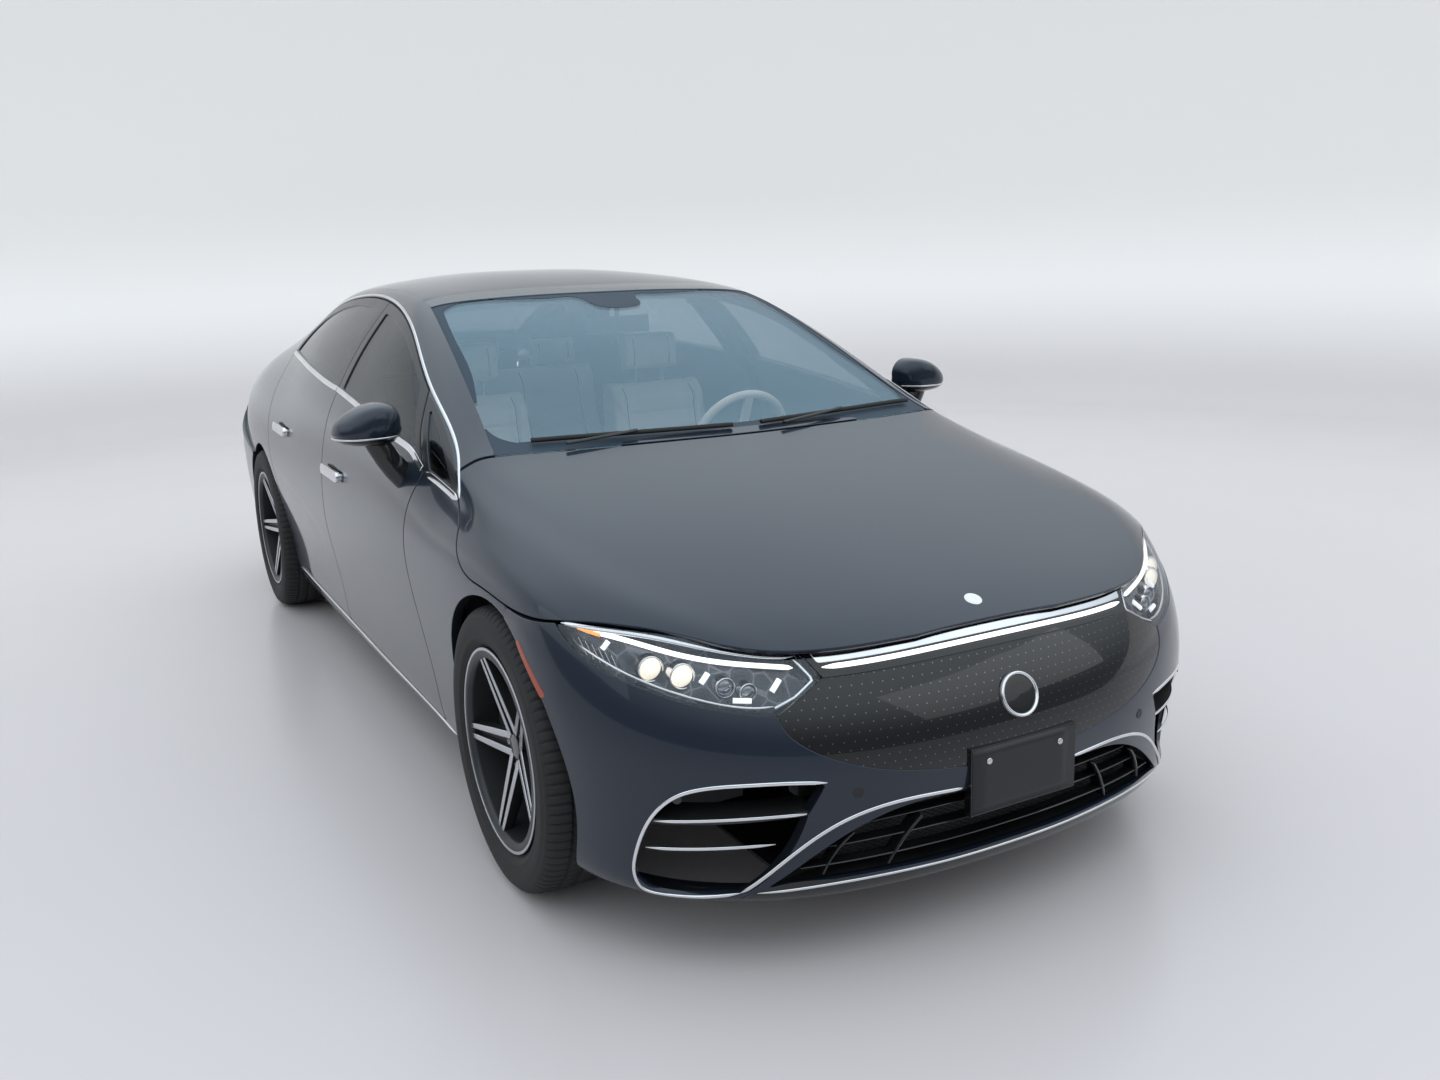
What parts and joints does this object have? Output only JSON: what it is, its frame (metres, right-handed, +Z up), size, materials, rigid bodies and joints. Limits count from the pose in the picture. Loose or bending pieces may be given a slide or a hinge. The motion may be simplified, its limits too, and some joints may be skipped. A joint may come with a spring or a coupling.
{
  "type": "liftback sedan car",
  "caption": "Large liftback sedan with one-bow roofline, light bar nose, opening doors, hood and hatch, steered front wheels and a furnished cabin.",
  "frame": {"origin": "on the ground at the middle of the car's length and width", "axes": "+Y towards the rear of the car, +X towards its left side, +Z up; the car faces -Y"},
  "size_m": [2.2204, 5.216, 1.5181],
  "materials": {
    "paint": "glossy",
    "glass": "glossy",
    "roof_glass": "glossy",
    "black_trim": "satin",
    "gloss_black": "glossy",
    "lamp": "glossy",
    "tail_lens": "glossy",
    "tyre": "matte",
    "wheel": "satin",
    "steel": "matte",
    "battery": "matte",
    "leather": "satin",
    "carpet": "matte"
  },
  "bodies": {
    "car_body": {"fenders": "paint", "front_bumper": "paint", "rear_bumper": "paint", "body_side_left": "paint", "body_side_right": "paint", "windscreen": "glass", "front_quarter_glass": "glass", "roof_panel": "roof_glass", "intake_ducts": "black_trim", "underbody": "black_trim", "front_wheelhouse_liners": "black_trim", "rear_wheelhouse_liners": "black_trim", "bay_cover": "black_trim", "bulkhead": "black_trim", "dashboard": "black_trim", "inner_mirror": "black_trim", "grille_panel": "gloss_black", "front_plate_holder": "gloss_black", "rear_plate_holder": "gloss_black", "headlamps": "lamp", "front_light_bar": "lamp", "tail_lamps": "tail_lens", "front_suspension": "steel", "rear_suspension": "steel", "rear_hub_carriers": "steel", "front_drive_unit": "steel", "rear_drive_unit": "steel", "front_rails": "steel", "boot_floor": "steel", "battery_pack": "battery", "front_seats": "leather", "rear_bench": "leather", "floor": "carpet"},
    "front_wheel_left": {"front_tyre_left": "tyre", "front_rim_left": "wheel"},
    "front_wheel_right": {"front_tyre_right": "tyre", "front_rim_right": "wheel"},
    "rear_wheel_left": {"rear_tyre_left": "tyre", "rear_rim_left": "wheel"},
    "rear_wheel_right": {"rear_tyre_right": "tyre", "rear_rim_right": "wheel"},
    "hub_left": {"front_hub_carrier_left": "steel"},
    "hub_right": {"front_hub_carrier_right": "steel"},
    "door_front_left": {"front_door_left": "paint", "front_door_glass_left": "glass", "mirror_left": "paint"},
    "door_front_right": {"front_door_right": "paint", "front_door_glass_right": "glass", "mirror_right": "paint"},
    "door_rear_left": {"rear_door_left": "paint", "rear_door_glass_left": "glass"},
    "door_rear_right": {"rear_door_right": "paint", "rear_door_glass_right": "glass"},
    "hood": {"hood": "paint"},
    "hatch": {"hatch": "paint", "rear_glass": "glass", "tail_light_bar": "tail_lens"},
    "steering_wheel": {"steering_wheel": "leather"}
  },
  "joints": [
    {"name": "steer_left", "type": "hinge", "parent": "car_body", "child": "hub_left", "pos_m": [0.7535, -1.732, 0.369], "axis": [0, 0, 1], "range_deg": [-33, 33]},
    {"name": "steer_right", "type": "hinge", "parent": "car_body", "child": "hub_right", "pos_m": [-0.7535, -1.732, 0.369], "axis": [0, 0, 1], "range_deg": [-33, 33]},
    {"name": "front_left_spin", "type": "hinge", "parent": "hub_left", "child": "front_wheel_left", "pos_m": [0.8335, -1.732, 0.369], "axis": [1, 0, 0], "continuous": true},
    {"name": "front_right_spin", "type": "hinge", "parent": "hub_right", "child": "front_wheel_right", "pos_m": [-0.8335, -1.732, 0.369], "axis": [1, 0, 0], "continuous": true},
    {"name": "rear_left_spin", "type": "hinge", "parent": "car_body", "child": "rear_wheel_left", "pos_m": [0.841, 1.478, 0.369], "axis": [1, 0, 0], "continuous": true},
    {"name": "rear_right_spin", "type": "hinge", "parent": "car_body", "child": "rear_wheel_right", "pos_m": [-0.841, 1.478, 0.369], "axis": [1, 0, 0], "continuous": true},
    {"name": "front_left_door", "type": "hinge", "parent": "car_body", "child": "door_front_left", "pos_m": [0.934, -0.955, 0.7], "axis": [0, 0, -1], "range_deg": [0, 66]},
    {"name": "front_right_door", "type": "hinge", "parent": "car_body", "child": "door_front_right", "pos_m": [-0.934, -0.955, 0.7], "axis": [0, 0, 1], "range_deg": [0, 66]},
    {"name": "rear_left_door", "type": "hinge", "parent": "car_body", "child": "door_rear_left", "pos_m": [0.936, 0.17, 0.7], "axis": [0, 0, -1], "range_deg": [0, 66]},
    {"name": "rear_right_door", "type": "hinge", "parent": "car_body", "child": "door_rear_right", "pos_m": [-0.936, 0.17, 0.7], "axis": [0, 0, 1], "range_deg": [0, 66]},
    {"name": "hood_lift", "type": "hinge", "parent": "car_body", "child": "hood", "pos_m": [0, -1.215, 1], "axis": [-1, 0, 0], "range_deg": [0, 46]},
    {"name": "hatch_lift", "type": "hinge", "parent": "car_body", "child": "hatch", "pos_m": [0, 1.05, 1.408], "axis": [1, 0, 0], "range_deg": [0, 70]},
    {"name": "steering_wheel_turn", "type": "hinge", "parent": "car_body", "child": "steering_wheel", "pos_m": [0.385, -0.64, 0.905], "axis": [0, 0.9135, 0.4067], "range_deg": [-450, 450]}
  ],
  "couplings": [
    {"joint": "steer_right", "follows": "steer_left", "ratio": 1},
    {"joint": "steering_wheel_turn", "follows": "steer_left", "ratio": 13.6}
  ]
}
